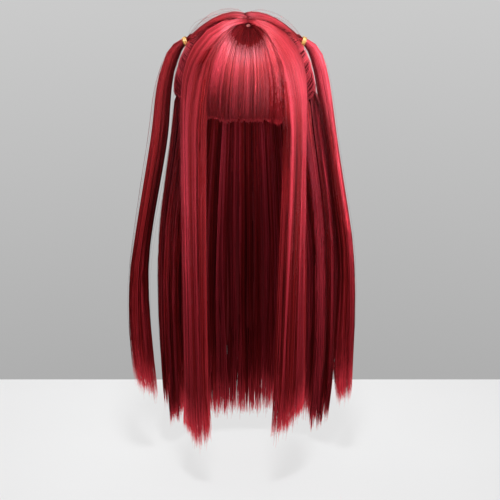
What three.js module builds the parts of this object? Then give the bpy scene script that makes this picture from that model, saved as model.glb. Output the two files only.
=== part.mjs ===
import * as THREE from "three";

// A long straight wig in a half-up style with two tied side tails, in millimetres.
// The origin is the inside top of the cap, the face side looks along -Y and +Z is up.

// Head form that the cap fits.
const HEAD = { halfWidth: 75, halfLength: 93, crownHeight: 95, napeHeight: 140 };
const CAP_WALL = 2;
const CLEARANCE = 0.8;
const ROOT_LIFT = CAP_WALL + CLEARANCE;

// Rim of the cap: degrees round from the forehead, height of the rim.
const CAP_GRID = { sides: 32, rows: 7 };
const CAP_RIM = [
  { around: 0, z: -58 },
  { around: 40, z: -66 },
  { around: 68, z: -100 },
  { around: 82, z: -116 },
  { around: 100, z: -107 },
  { around: 130, z: -130 },
  { around: 180, z: -150 },
];

// Spot where the parting starts, and the parting behind it.
const SPOT = { x: 4.5, y: -26, radius: 3.6, lift: 2.35, thickness: 2, sides: 16 };
const PARTING = { halfGap: 1.2, frontEnd: -16, tiedFrom: -14.5, tiedTo: 40, whorl: 44 };

// Fringe: degrees round the forehead at its two edges, and its grid.
const BANGS = {
  edgeLeft: -34.5,
  edgeRight: 36,
  rootRadius: 3.2,
  rootFan: 80,
  steps: 24,
  locks: 8,
  rows: 9,
  rag: 1.1,
  lockDepth: 1.4,
};
const BANGS_RUN = [
  { share: 0, inner: 2.8, outer: 4.6 },
  { share: 0.12, inner: 2.8, outer: 7 },
  { share: 0.32, inner: 2.8, outer: 8.6 },
  { share: 0.55, inner: 2.8, outer: 9 },
  { share: 0.78, inner: 2.8, outer: 8.8 },
  { share: 1, inner: 2.8, outer: 8.2 },
];
const BANGS_HEM = [
  { share: 0, z: -105.5 },
  { share: 0.5, z: -106.5 },
  { share: 0.8, z: -108 },
  { share: 0.92, z: -112 },
  { share: 1, z: -113 },
];

// Long locks in front of the ears: on the head, where the rear edge lifts more, then hanging
// between two edges.
const SIDELOCK = { steps: 12, rows: 11, edgeFront: 37.2, edgeRear: 89.6, locks: 3, lockDepth: 1.6 };
const SIDELOCK_RUN = [
  { share: 0, inner: 2.8, outer: 4.8, rear: 4.4 },
  { share: 0.14, inner: 2.8, outer: 7.2, rear: 3.4 },
  { share: 0.38, inner: 2.8, outer: 8.6, rear: 2.6 },
  { share: 0.7, inner: 2.8, outer: 8, rear: 1.6 },
  { share: 1, inner: 2.8, outer: 7.4, rear: 0.4 },
];
const SIDELOCK_HANG = {
  left: [
    { z: -128, inX: 47.5, inY: -84, outX: 80.5, outY: -10, thick: 7, bulge: 8 },
    { z: -175, inX: 49, inY: -81, outX: 80, outY: -22, thick: 9, bulge: 6 },
    { z: -270, inX: 50.5, inY: -77, outX: 81, outY: -34, thick: 11, bulge: 4.5 },
    { z: -390, inX: 51, inY: -74, outX: 82, outY: -38, thick: 11, bulge: 4 },
    { z: -500, inX: 50, inY: -72, outX: 83, outY: -38, thick: 10, bulge: 4 },
    { z: -548, inX: 47, inY: -71, outX: 86.5, outY: -37, thick: 6, bulge: 4 },
  ],
  right: [
    { z: -128, inX: 49.5, inY: -84, outX: 80, outY: -10, thick: 7, bulge: 8 },
    { z: -175, inX: 49, inY: -81, outX: 79.5, outY: -22, thick: 9, bulge: 6 },
    { z: -270, inX: 47.5, inY: -77, outX: 80.5, outY: -34, thick: 11, bulge: 4.5 },
    { z: -390, inX: 43.5, inY: -74, outX: 81.5, outY: -38, thick: 11, bulge: 4 },
    { z: -500, inX: 41, inY: -72, outX: 82.5, outY: -38, thick: 10, bulge: 4 },
    { z: -526, inX: 39, inY: -71, outX: 81, outY: -37, thick: 6, bulge: 4 },
  ],
};
const SIDELOCK_TIP = {
  left: { inner: -566, middle: -577, outer: -562, rag: 5, thick: 1.6 },
  right: { inner: -564, middle: -555, outer: -538, rag: 5, thick: 1.6 },
};

// Elastic bands of the two tails, and the hair that runs through them.
const TIE = { x: 76, y: 8, z: -27, hairRadius: 4.6, bore: 5, wall: 1.7, width: 5, sides: 16 };
const TIE_AXIS = { x: 0.92, y: 0.06, z: -0.39 };
const TIE_SLEEVE = 3.2;
const TIE_NECK = { back: 9, radius: 6.6 };

// Hair drawn up to a tie: corners of its footing on the head, as degrees round and up.
const GATHER = { perEdge: 7, footRings: 7, skinRows: 8, reach: 0.93, lift: 15, bulge: 2.4, footLift: 3.3 };
const GATHER_EDGE_LIFT = { frontTop: 10.4, rearTop: 10.8, rearFoot: 16, frontFoot: 16 };
const GATHER_FOOT = { frontAround: 91.2, rearAround: 122.5, up: -1 };

// Side tails: middle of each section and its half sizes across and front to back.
const TAIL_SIDES = 12;
const TAIL = {
  left: [
    { x: 84, y: 8.6, z: -31.5, across: 5.6, deep: 5.6 },
    { x: 91, y: 9.5, z: -41, across: 7.4, deep: 7 },
    { x: 97.5, y: 10.5, z: -56, across: 8, deep: 8 },
    { x: 103.5, y: 12, z: -76, across: 8.8, deep: 8.6 },
    { x: 107.5, y: 13, z: -100, across: 9.8, deep: 9 },
    { x: 112.5, y: 14, z: -145, across: 10.6, deep: 9.4 },
    { x: 118, y: 15, z: -178, across: 10.8, deep: 9.4 },
    { x: 131, y: 16, z: -246, across: 10.6, deep: 9.2 },
    { x: 141, y: 17, z: -300, across: 10.6, deep: 9 },
    { x: 148.5, y: 18, z: -360, across: 12.4, deep: 8.8 },
    { x: 149.5, y: 18, z: -430, across: 14.8, deep: 8.4 },
    { x: 147, y: 18, z: -490, across: 15.8, deep: 7.6 },
    { x: 144, y: 18, z: -522, across: 16, deep: 5.6 },
    { x: 142, y: 18, z: -545, across: 15, deep: 2.4 },
  ],
  right: [
    { x: 84, y: 8.6, z: -31.5, across: 5.6, deep: 5.6 },
    { x: 91, y: 9.5, z: -41, across: 7.4, deep: 7 },
    { x: 96.5, y: 10.5, z: -56, across: 8, deep: 8 },
    { x: 101.5, y: 12, z: -76, across: 8.4, deep: 8.6 },
    { x: 105.5, y: 13, z: -100, across: 9, deep: 9 },
    { x: 112, y: 14, z: -145, across: 9.4, deep: 9.4 },
    { x: 117, y: 15, z: -178, across: 9.6, deep: 9.4 },
    { x: 129, y: 16, z: -246, across: 10.2, deep: 9.2 },
    { x: 137.5, y: 17, z: -300, across: 10.4, deep: 9 },
    { x: 142, y: 18, z: -360, across: 11.6, deep: 8.8 },
    { x: 142, y: 18, z: -430, across: 13.4, deep: 8.4 },
    { x: 141, y: 18, z: -490, across: 13.8, deep: 7.6 },
    { x: 142, y: 18, z: -524, across: 12.6, deep: 5.6 },
    { x: 144, y: 18, z: -548, across: 10.6, deep: 2.4 },
  ],
};
const TAIL_END = { rag: 4, slant: { left: 8, right: 5 } };

// Loose hair behind: a curtain round the back of the head, parted into locks.
const CURTAIN = [
  { z: -95, halfWidth: 87, moreRight: 0, sideY: 4, backY: 101.5, thickSide: 8.5, thickBack: 5 },
  { z: -110, halfWidth: 93.5, moreRight: 0, sideY: 7, backY: 102.5, thickSide: 12, thickBack: 6.5 },
  { z: -145, halfWidth: 99, moreRight: 0, sideY: 13, backY: 102.5, thickSide: 12.5, thickBack: 10.5 },
  { z: -178, halfWidth: 103.5, moreRight: 0, sideY: 18, backY: 101.5, thickSide: 12.5, thickBack: 12 },
  { z: -290, halfWidth: 121, moreRight: 5, sideY: 30, backY: 99, thickSide: 12, thickBack: 12 },
  { z: -410, halfWidth: 126, moreRight: 7, sideY: 34, backY: 97, thickSide: 11, thickBack: 11 },
  { z: -520, halfWidth: 123.5, moreRight: 5, sideY: 35, backY: 96, thickSide: 9, thickBack: 9 },
  { z: -620, halfWidth: 119, moreRight: 0, sideY: 36, backY: 95, thickSide: 5, thickBack: 5 },
];
const CURTAIN_EDGE = 87;
const CURTAIN_SIDE_FROM = 55;
const CURTAIN_SIDE_TOP = -100.5;
const CURTAIN_CORNER = { around: 125, up: 4 };
const LOCK_GAP = 0.35;
const LOCK_STEPS = 5;
const LOCK_ROWS = 12;
const LOCK_RAG = 5;
const LOCK_TIP_PART = 0.35;
const LOCK_RUN = [
  { share: 0, inner: 2.8, outer: 5 },
  { share: 0.16, inner: 2.8, outer: 7.4 },
  { share: 0.5, inner: 2.8, outer: 9 },
  { share: 1, inner: 2.8, outer: 9.4 },
];
const LOCK_HANG = [-110, -145, -178, -230, -290, -350, -410, -470, -530];

// Locks behind: degrees round from the middle of the back, and where each lock ends.
const BACK_LOCKS = [
  { name: "back_lock_left_4", from: -87, to: -71, tip: -562 },
  { name: "back_lock_left_3", from: -71, to: -55, tip: -606 },
  { name: "back_lock_left_2", from: -55, to: -35, tip: -598 },
  { name: "back_lock_left_1", from: -35, to: -13, tip: -608 },
  { name: "back_lock_middle", from: -13, to: 13, tip: -612 },
  { name: "back_lock_right_1", from: 13, to: 35, tip: -604 },
  { name: "back_lock_right_2", from: 35, to: 55, tip: -600 },
  { name: "back_lock_right_3", from: 55, to: 71, tip: -612 },
  { name: "back_lock_right_4", from: 71, to: 87, tip: -590 },
];

// Colours of the pieces.
const HAIR = { color: "#8c1f29", roughness: 0.38, metalness: 0 };
const CAP = { color: "#4a1217", roughness: 0.85, metalness: 0 };
const SKIN = { color: "#c98478", roughness: 0.6, metalness: 0 };
const BAND = { color: "#dfb15a", roughness: 0.5, metalness: 0 };

const SIDES = { left: -1, right: 1 };

// Value of a table column at a place, eased through the rows.
function columnAt(rows, by, column, place) {
  const rising = rows[rows.length - 1][by] > rows[0][by];
  const past = (row) => (rising ? row[by] >= place : row[by] <= place);
  let next = rows.findIndex(past);
  if (next === 0) {
    return rows[0][column];
  }
  if (next < 0) {
    return rows[rows.length - 1][column];
  }
  const slope = (i) => {
    const low = rows[Math.max(i - 1, 0)];
    const high = rows[Math.min(i + 1, rows.length - 1)];
    return (high[column] - low[column]) / (high[by] - low[by]);
  };
  const a = rows[next - 1];
  const b = rows[next];
  const span = b[by] - a[by];
  const t = (place - a[by]) / span;
  const start = 2 * t ** 3 - 3 * t ** 2 + 1;
  const leave = t ** 3 - 2 * t ** 2 + t;
  const arrive = t ** 3 - t ** 2;
  const bend = leave * slope(next - 1) + arrive * slope(next);
  return start * a[column] + (1 - start) * b[column] + span * bend;
}

function mix(a, b, share) {
  return a + (b - a) * share;
}

// Unit direction from the head's middle: degrees round from the forehead, degrees up.
function way(around, up) {
  const a = THREE.MathUtils.degToRad(around);
  const u = THREE.MathUtils.degToRad(up);
  return new THREE.Vector3(Math.cos(u) * Math.sin(a), -Math.cos(u) * Math.cos(a), Math.sin(u));
}

// Unit direction whose place on the head form has this x and y, on the crown side.
function wayOver(x, y) {
  const nx = x / HEAD.halfWidth;
  const ny = y / HEAD.halfLength;
  return new THREE.Vector3(nx, ny, Math.sqrt(1 - nx * nx - ny * ny));
}

// Direction a share of the way along the arc between two directions.
function along(a, b, share) {
  const angle = a.angleTo(b);
  const wa = Math.sin((1 - share) * angle) / Math.sin(angle);
  const wb = Math.sin(share * angle) / Math.sin(angle);
  return a.clone().multiplyScalar(wa).addScaledVector(b, wb);
}

// Point over the head form in a direction, lifted off it.
function headPoint(n, lift) {
  const height = n.z >= 0 ? HEAD.crownHeight : HEAD.napeHeight;
  return new THREE.Vector3(
    (HEAD.halfWidth + lift) * n.x,
    (HEAD.halfLength + lift) * n.y,
    (height + lift) * n.z - HEAD.crownHeight,
  );
}

// Closed solid from points and triangles, turned to face outwards.
function solid(points, faces) {
  let volume = 0;
  for (const [a, b, c] of faces) {
    volume += points[a].dot(points[b].clone().cross(points[c]));
  }
  const turned = volume < 0 ? faces.map(([a, b, c]) => [a, c, b]) : faces;
  const geometry = new THREE.BufferGeometry().setFromPoints(points);
  geometry.setIndex(turned.flat());
  return geometry;
}

// Faces of a band between two closed rings that start at these point numbers.
function bandFaces(from, to, count) {
  const faces = [];
  for (let i = 0; i < count; i += 1) {
    const j = (i + 1) % count;
    faces.push([from + i, from + j, to + j], [from + i, to + j, to + i]);
  }
  return faces;
}

// Solid through closed rings; each end closes on its own middle point.
function ringSolid(rings, startPoint, endPoint) {
  const count = rings[0].length;
  const points = rings.flat();
  const faces = [];
  for (let r = 0; r + 1 < rings.length; r += 1) {
    faces.push(...bandFaces(r * count, (r + 1) * count, count));
  }
  const last = (rings.length - 1) * count;
  const start = points.push(startPoint) - 1;
  const end = points.push(endPoint) - 1;
  for (let i = 0; i < count; i += 1) {
    const j = (i + 1) % count;
    faces.push([start, j, i], [end, last + i, last + j]);
  }
  return solid(points, faces);
}

// Solid sheet through stations, each with an outer and an inner row of points.
function sheetSolid(stations) {
  const steps = stations[0].outer.length;
  const count = 2 * steps;
  const points = stations.flatMap(({ outer, inner }) => [...outer, ...inner.slice().reverse()]);
  const faces = [];
  for (let s = 0; s + 1 < stations.length; s += 1) {
    faces.push(...bandFaces(s * count, (s + 1) * count, count));
  }
  const last = (stations.length - 1) * count;
  for (let i = 0; i + 1 < steps; i += 1) {
    const j = count - 1 - i;
    faces.push([i, j, i + 1], [i + 1, j, j - 1]);
    faces.push([last + i, last + i + 1, last + j], [last + i + 1, last + j - 1, last + j]);
  }
  return solid(points, faces);
}

function middle(ring) {
  const sum = ring.reduce((total, p) => total.add(p), new THREE.Vector3());
  return sum.divideScalar(ring.length);
}

function shares(steps) {
  return Array.from({ length: steps + 1 }, (_, i) => i / steps);
}

// Rounded top of each small lock side by side across a sheet: 0 in a groove, 1 on a ridge.
function ridge(share, locks) {
  return Math.abs(Math.sin(Math.PI * locks * share)) ** 0.6;
}

// Rows of a sheet on the head: share of the way down, lift of its inner and outer side.
function runRows(table, rows) {
  return shares(rows).map((share) => ({
    share,
    inner: columnAt(table, "share", "inner", share),
    outer: columnAt(table, "share", "outer", share),
  }));
}

// Two to one, up and down, along the ends of the hair.
function ragged(step, depth) {
  return depth * ((step * 2) % 3 === 0 ? 1 : -0.5);
}

const SPOT_WAY = wayOver(SPOT.x, SPOT.y);
const SPOT_FRONT = new THREE.Vector3(0, -1, 0).projectOnPlane(SPOT_WAY).normalize();
const SPOT_SIDE = new THREE.Vector3().crossVectors(SPOT_FRONT, SPOT_WAY).normalize();

// Direction near the spot: degrees out from it, degrees turned from the forehead.
function waySpot(out, turn) {
  const o = THREE.MathUtils.degToRad(out);
  const t = THREE.MathUtils.degToRad(turn);
  return SPOT_WAY.clone()
    .multiplyScalar(Math.cos(o))
    .addScaledVector(SPOT_FRONT, Math.sin(o) * Math.cos(t))
    .addScaledVector(SPOT_SIDE, -Math.sin(o) * Math.sin(t));
}

function wigCap() {
  const ring = (row, lift) =>
    shares(CAP_GRID.sides)
      .slice(0, -1)
      .map((share) => {
        const around = 360 * share;
        const rim = columnAt(CAP_RIM, "around", "z", Math.min(around, 360 - around)) + HEAD.crownHeight;
        const height = rim > 0 ? HEAD.crownHeight : HEAD.napeHeight;
        const low = THREE.MathUtils.radToDeg(Math.asin(rim / height));
        return headPoint(way(around, mix(90, low, row)), lift);
      });
  const rows = shares(CAP_GRID.rows).slice(1);
  const outer = rows.map((row) => ring(row, CAP_WALL));
  const inner = rows.map((row) => ring(row, 0)).reverse();
  const top = new THREE.Vector3(0, 0, 1);
  return ringSolid([...outer, ...inner], headPoint(top, CAP_WALL), headPoint(top, 0));
}

function scalpPatch() {
  const reach = THREE.MathUtils.radToDeg(SPOT.radius / (HEAD.halfLength + SPOT.lift));
  const ring = (share, lift) =>
    shares(SPOT.sides)
      .slice(0, -1)
      .map((turn) => headPoint(waySpot(reach * share, 360 * turn), lift));
  const high = SPOT.lift + SPOT.thickness;
  const rings = [ring(0.6, high - 0.1), ring(1, high - 0.7), ring(1, SPOT.lift), ring(0.6, SPOT.lift)];
  return ringSolid(rings, headPoint(SPOT_WAY, high), headPoint(SPOT_WAY, SPOT.lift));
}

function bangs() {
  const across = shares(BANGS.steps);
  const edge = (u) => mix(BANGS.edgeLeft, BANGS.edgeRight, u);
  const root = (u) => waySpot(BANGS.rootRadius, mix(-BANGS.rootFan, BANGS.rootFan, u));
  const groove = (u, share) => BANGS.lockDepth * Math.min(3 * share, 1) * (ridge(u, BANGS.locks) - 1);
  const onHead = runRows(BANGS_RUN, BANGS.rows).map(({ share, inner, outer }) => {
    const n = across.map((u) => along(root(u), way(edge(u), 0), share));
    return {
      outer: n.map((way, i) => headPoint(way, outer + groove(across[i], share))),
      inner: n.map((way) => headPoint(way, inner)),
    };
  });
  const hem = (lift, rise, shaped) =>
    across.map((u, i) => {
      const point = headPoint(way(edge(u), 0), lift + (shaped ? groove(u, 1) : 0));
      return point.setZ(columnAt(BANGS_HEM, "share", "z", u) + ragged(i, BANGS.rag) + rise);
    });
  const hang = [
    { outer: hem(7.4, 6, true), inner: hem(2.9, 6, false) },
    { outer: hem(6, 0, true), inner: hem(3.4, 0, false) },
  ];
  return sheetSolid([...onHead, ...hang]);
}

function sidelock(name) {
  const side = SIDES[name];
  const across = shares(SIDELOCK.steps);
  const frontRoot = waySpot(BANGS.rootRadius, side * (BANGS.rootFan + 12));
  const rearRoot = wayOver(side * PARTING.halfGap, PARTING.frontEnd);
  const edge = (u) => side * mix(SIDELOCK.edgeFront, SIDELOCK.edgeRear, u);
  const groove = (u) => SIDELOCK.lockDepth * (ridge(u, SIDELOCK.locks) - 1);
  const onHead = runRows(SIDELOCK_RUN, SIDELOCK.rows).map(({ share, inner, outer }) => {
    const n = across.map((u) => along(along(frontRoot, rearRoot, u), way(edge(u), 0), share));
    const rear = columnAt(SIDELOCK_RUN, "share", "rear", share);
    const rise = (u) => outer + rear * u ** 2 + Math.min(3 * share, 1) * groove(u);
    return {
      outer: n.map((way, i) => headPoint(way, rise(across[i]))),
      inner: n.map((way) => headPoint(way, inner)),
    };
  });
  const section = (row, thick, height) => {
    const a = new THREE.Vector3(side * row.inX, row.inY, 0);
    const b = new THREE.Vector3(side * row.outX, row.outY, 0);
    const out = new THREE.Vector3(b.y - a.y, a.x - b.x, 0).multiplyScalar(side).normalize();
    const place = (u, share) => {
      const round = 0.4 + 0.6 * Math.sin(Math.PI * u);
      const swell = row.bulge * Math.sin(Math.PI * u) + share * (thick * round + groove(u));
      return a.clone().lerp(b, u).addScaledVector(out, swell).setZ(height(u));
    };
    return {
      outer: across.map((u) => place(u, 0.5)),
      inner: across.map((u) => place(u, -0.5)),
    };
  };
  const rows = SIDELOCK_HANG[name];
  const hang = rows.flatMap((row, i) => {
    const full = [section(row, row.thick, () => row.z)];
    if (i + 1 < rows.length) {
      const z = (row.z + rows[i + 1].z) / 2;
      const between = { z };
      for (const column of ["inX", "inY", "outX", "outY", "thick", "bulge"]) {
        between[column] = columnAt(rows, "z", column, z);
      }
      full.push(section(between, between.thick, () => z));
    }
    return full;
  });
  const tip = SIDELOCK_TIP[name];
  const end = [
    { share: 0, z: tip.inner },
    { share: 0.45, z: tip.middle },
    { share: 1, z: tip.outer },
  ];
  const low = (u) => columnAt(end, "share", "z", u) + ragged(Math.round(u * SIDELOCK.steps), tip.rag);
  return sheetSolid([...onHead, ...hang, section(rows[rows.length - 1], tip.thick, low)]);
}

// Middle, outward axis and two cross directions of a tie.
function tieFrame(name) {
  const side = SIDES[name];
  const centre = new THREE.Vector3(side * TIE.x, TIE.y, TIE.z);
  const axis = new THREE.Vector3(side * TIE_AXIS.x, TIE_AXIS.y, TIE_AXIS.z).normalize();
  const up = new THREE.Vector3(0, 0, 1).projectOnPlane(axis).normalize();
  const rear = new THREE.Vector3(0, 1, 0).projectOnPlane(axis).projectOnPlane(up).normalize();
  return { side, centre, axis, up, rear };
}

function hairTie(name) {
  const { centre, axis } = tieFrame(name);
  const mid = TIE.bore + TIE.wall / 2;
  const wrap = TIE.width / 4;
  const profile = [
    [TIE.bore, -TIE.width / 2 + 0.4],
    [TIE.bore + 0.4, -TIE.width / 2],
    [mid + 0.4, -TIE.width / 2],
    [TIE.bore + TIE.wall, -wrap],
    [mid + 0.3, 0],
    [TIE.bore + TIE.wall, wrap],
    [mid + 0.4, TIE.width / 2],
    [TIE.bore + 0.4, TIE.width / 2],
    [TIE.bore, TIE.width / 2 - 0.4],
    [TIE.bore, -TIE.width / 2 + 0.4],
  ];
  const band = new THREE.LatheGeometry(profile.map(([r, h]) => new THREE.Vector2(r, h)), TIE.sides);
  band.applyQuaternion(new THREE.Quaternion().setFromUnitVectors(new THREE.Vector3(0, 1, 0), axis));
  band.translate(centre.x, centre.y, centre.z);
  return band;
}

function gather(name) {
  const { side, centre, axis, up, rear } = tieFrame(name);
  const foot = GATHER_FOOT;
  const corners = [
    { n: wayOver(side * PARTING.halfGap, PARTING.tiedFrom), lift: GATHER_EDGE_LIFT.frontTop },
    { n: wayOver(side * PARTING.halfGap, PARTING.tiedTo), lift: GATHER_EDGE_LIFT.rearTop },
    { n: way(side * foot.rearAround, foot.up), lift: GATHER_EDGE_LIFT.rearFoot },
    { n: way(side * foot.frontAround, foot.up), lift: GATHER_EDGE_LIFT.frontFoot },
  ];
  const edge = corners.flatMap((from, i) => {
    const to = corners[(i + 1) % corners.length];
    return shares(GATHER.perEdge)
      .slice(0, -1)
      .map((share) => ({ n: along(from.n, to.n, share), lift: mix(from.lift, to.lift, share) }));
  });
  const tieWay = new THREE.Vector3(
    centre.x / HEAD.halfWidth,
    centre.y / HEAD.halfLength,
    (centre.z + HEAD.crownHeight) / HEAD.crownHeight,
  ).normalize();
  const foots = shares(GATHER.footRings)
    .slice(1)
    .map((share) => edge.map(({ n }) => headPoint(along(tieWay, n, share), GATHER.footLift)));
  const sleeve = (back, radius) =>
    edge.map(({ n, lift }) => {
      const away = headPoint(n, lift).sub(centre);
      const turn = Math.atan2(away.dot(rear), away.dot(up));
      return centre
        .clone()
        .addScaledVector(axis, -back)
        .addScaledVector(up, radius * Math.cos(turn))
        .addScaledVector(rear, radius * Math.sin(turn));
    });
  const neck = sleeve(TIE_NECK.back, TIE_NECK.radius);
  const skin = shares(GATHER.skinRows)
    .slice(0, -1)
    .map((share) =>
      edge.map(({ n, lift }, i) => {
        const rise = mix(lift, GATHER.lift, share ** 0.5) + GATHER.bulge * Math.sin(Math.PI * share);
        return headPoint(along(n, tieWay, GATHER.reach * share), rise).lerp(neck[i], share ** 3);
      }),
    );
  const mouth = sleeve(TIE_SLEEVE, TIE.hairRadius);
  const face = sleeve(0.2, TIE.hairRadius);
  const rings = [...foots, ...skin, neck, mouth, face];
  return ringSolid(rings, headPoint(tieWay, GATHER.footLift), middle(face));
}

function tail(name) {
  const { side, centre, axis } = tieFrame(name);
  const rows = TAIL[name];
  const slant = TAIL_END.slant[name];
  const start = [0.2, TIE_SLEEVE].map((out) => {
    const p = centre.clone().addScaledVector(axis, out);
    return { x: side * p.x, y: p.y, z: p.z, across: TIE.hairRadius, deep: TIE.hairRadius };
  });
  const table = [...start, ...rows];
  const place = (row) => new THREE.Vector3(side * row.x, row.y, row.z);
  const rings = table.map((row, i) => {
    const before = place(table[Math.max(i - 1, 0)]);
    const after = place(table[Math.min(i + 1, table.length - 1)]);
    const run = i < 2 ? axis.clone() : after.sub(before).normalize();
    const across = new THREE.Vector3(0, 1, 0).cross(run).normalize();
    const deep = run.clone().cross(across);
    const last = i === table.length - 1;
    return shares(TAIL_SIDES)
      .slice(0, -1)
      .map((share, k) => {
        const turn = 2 * Math.PI * share;
        const lobe = i < 3 ? 1 : 1 + 0.07 * Math.cos(3 * turn + 0.8);
        return place(row)
          .addScaledVector(across, row.across * lobe * Math.cos(turn))
          .addScaledVector(deep, row.deep * lobe * Math.sin(turn))
          .addScaledVector(run, last ? ragged(k, TAIL_END.rag) + slant * side * Math.cos(turn) : 0);
      });
  });
  return ringSolid(rings, middle(rings[0]), middle(rings[rings.length - 1]));
}

// Outer edge of the curtain at a height, the way out of it there and its thickness.
function curtainAt(turn, z) {
  const angle = THREE.MathUtils.degToRad((turn / CURTAIN_EDGE) * 90);
  const at = (column) => columnAt(CURTAIN, "z", column, z);
  const width = at("halfWidth") + at("moreRight") * (Math.max(turn, 0) / CURTAIN_EDGE) ** 2;
  const sideY = at("sideY");
  const depth = at("backY") - sideY;
  const point = new THREE.Vector3(width * Math.sin(angle), sideY + depth * Math.cos(angle), z);
  const out = new THREE.Vector3(depth * Math.sin(angle), width * Math.cos(angle), 0).normalize();
  return { point, out, thick: mix(at("thickSide"), at("thickBack"), Math.cos(angle) ** 2) };
}

function backLock({ from, to, tip }) {
  const across = shares(LOCK_STEPS);
  const turn = (u) => mix(from + LOCK_GAP, to - LOCK_GAP, u);
  const round = (u) => 0.5 + 0.5 * Math.sin(Math.PI * u) ** 0.7;
  const corner = (t) => way((t < 0 ? -1 : 1) * CURTAIN_CORNER.around, CURTAIN_CORNER.up);
  const root = (t) => along(wayOver(0, PARTING.whorl), corner(t), Math.abs(t) / CURTAIN_SIDE_FROM);
  const section = (height, part) => {
    const sheet = (depth) =>
      across.map((u, i) => {
        const { point, out, thick } = curtainAt(turn(u), height(i));
        return point.addScaledVector(out, thick * depth(u));
      });
    return { outer: sheet((u) => part * round(u) - 1), inner: sheet(() => -1) };
  };
  const loose = Math.max(Math.abs(from), Math.abs(to)) > CURTAIN_SIDE_FROM;
  const top = loose
    ? [section(() => CURTAIN_SIDE_TOP, 0.7)]
    : runRows(LOCK_RUN, LOCK_ROWS).map(({ share, inner, outer }) => {
        const n = across.map((u) => along(root(turn(u)), way(180 - turn(u), 0), share));
        const wide = (u) => 4 * share * (turn(u) / CURTAIN_SIDE_FROM) ** 2;
        return {
          outer: n.map((way, i) => headPoint(way, mix(inner, outer + wide(across[i]), round(across[i])))),
          inner: n.map((way) => headPoint(way, inner)),
        };
      });
  const rows = LOCK_HANG.filter((z) => z > tip + 20);
  const hang = rows.map((z) => section(() => z, 1));
  const low = section((i) => tip + ragged(i, LOCK_RAG), LOCK_TIP_PART);
  return sheetSolid([...top, ...hang, low]);
}

function mesh(name, geometry, looks) {
  const piece = new THREE.Mesh(geometry, new THREE.MeshStandardMaterial(looks));
  piece.name = name;
  return piece;
}

const wig = new THREE.Group();
wig.name = "cosplay_wig";
wig.add(mesh("wig_cap", wigCap(), CAP));
wig.add(mesh("scalp_patch", scalpPatch(), SKIN));
wig.add(mesh("bangs", bangs(), HAIR));
for (const name of Object.keys(SIDES)) {
  wig.add(mesh(`sidelock_${name}`, sidelock(name), HAIR));
  wig.add(mesh(`gather_${name}`, gather(name), HAIR));
  wig.add(mesh(`hair_tie_${name}`, hairTie(name), BAND));
  wig.add(mesh(`tail_${name}`, tail(name), HAIR));
}
for (const lock of BACK_LOCKS) {
  wig.add(mesh(lock.name, backLock(lock), HAIR));
}

export default wig;
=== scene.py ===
import math

import bpy
import numpy as np
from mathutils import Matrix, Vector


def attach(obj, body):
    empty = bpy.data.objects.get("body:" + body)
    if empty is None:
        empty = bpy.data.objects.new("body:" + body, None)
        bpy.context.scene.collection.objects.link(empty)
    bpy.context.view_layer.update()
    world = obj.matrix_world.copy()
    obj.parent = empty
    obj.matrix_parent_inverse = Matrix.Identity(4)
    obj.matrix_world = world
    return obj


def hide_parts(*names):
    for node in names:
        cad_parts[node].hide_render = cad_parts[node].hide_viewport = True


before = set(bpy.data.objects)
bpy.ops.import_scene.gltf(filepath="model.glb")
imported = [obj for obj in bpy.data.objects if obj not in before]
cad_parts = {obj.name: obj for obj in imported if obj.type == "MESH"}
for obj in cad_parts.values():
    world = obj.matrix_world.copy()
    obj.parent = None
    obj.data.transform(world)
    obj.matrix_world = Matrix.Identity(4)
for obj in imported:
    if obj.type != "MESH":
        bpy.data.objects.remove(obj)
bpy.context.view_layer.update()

# A long straight red wig: every lock is a body of fine strands over a core painted near black as shade.
# The hair is in millimetres, as the solids are, and the stage in metres; angles are in degrees.

MM = 0.001


def table(names, *rows):
    """Columns of a table by their names."""
    return dict(zip(names.split(), np.array(rows, float).T))


# Head and parting

HEAD = {"half_width": 75, "half_length": 93, "crown": 95, "nape": 140}
EQUATOR = -HEAD["crown"]
SIDES = {"left": -1, "right": 1}
SCALP_LIFT = 2.8
SPOT = {"x": 4.5, "y": -26}
PARTING = {
    "overlap": 0.6, "wiggle": 0.8, "rate": 0.28, "swing": (-8, 22), "calm": (-40, 0),
    "front_end": -13, "tied_from": -17, "tied_to": 43, "whorl": 41,
}

# Fringe

BANGS = {"left": -34.5, "right": 36, "root": 2.9, "fan": 80, "knee": 18, "knee_fan": 70, "tuck": 2}
BANGS_RUN = table("share outer", (0, 4.6), (0.12, 7), (0.32, 8.6), (0.55, 9), (0.78, 8.8), (1, 8.2))
BANGS_HEM = table(
    "share z",
    (0, -106), (0.09, -103.4), (0.27, -107), (0.41, -102.8), (0.53, -106),
    (0.67, -104.6), (0.8, -106), (0.88, -109.6), (0.94, -112), (1, -112),
)

# Side locks

SIDELOCK = {"front": 37.2, "rear": 89.6, "fan_gap": 12, "fan_end": 176, "knee_gap": 6, "edge_thick": 0.4}
SIDELOCK_BEND = (0.66, 1.22)
SIDELOCK_RUN = table(
    "share outer rear",
    (0, 4.8, 4.4), (0.14, 7.2, 3.4), (0.38, 8.6, 2.6), (0.7, 8, 1.6), (1, 7.4, 0.4),
)
SIDELOCK_DEPTH = table(
    "in_y out_y thick bulge",
    (-84, -10, 7, 8), (-81, -22, 9, 6), (-77, -34, 11, 4.5),
    (-74, -38, 11, 4), (-72, -38, 10, 4), (-71, -37, 7, 4),
)
SIDELOCK_HANG = {
    "left": table(
        "z in_x out_x",
        (-128, 47.5, 82.5), (-175, 49, 82), (-270, 50.5, 82),
        (-390, 51, 82.5), (-500, 50, 83), (-580, 46, 87),
    ),
    "right": table(
        "z in_x out_x",
        (-128, 51, 80), (-175, 50, 79.5), (-270, 48, 80.5),
        (-390, 45, 81.5), (-500, 42.5, 82.5), (-570, 38.5, 81),
    ),
}
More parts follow.
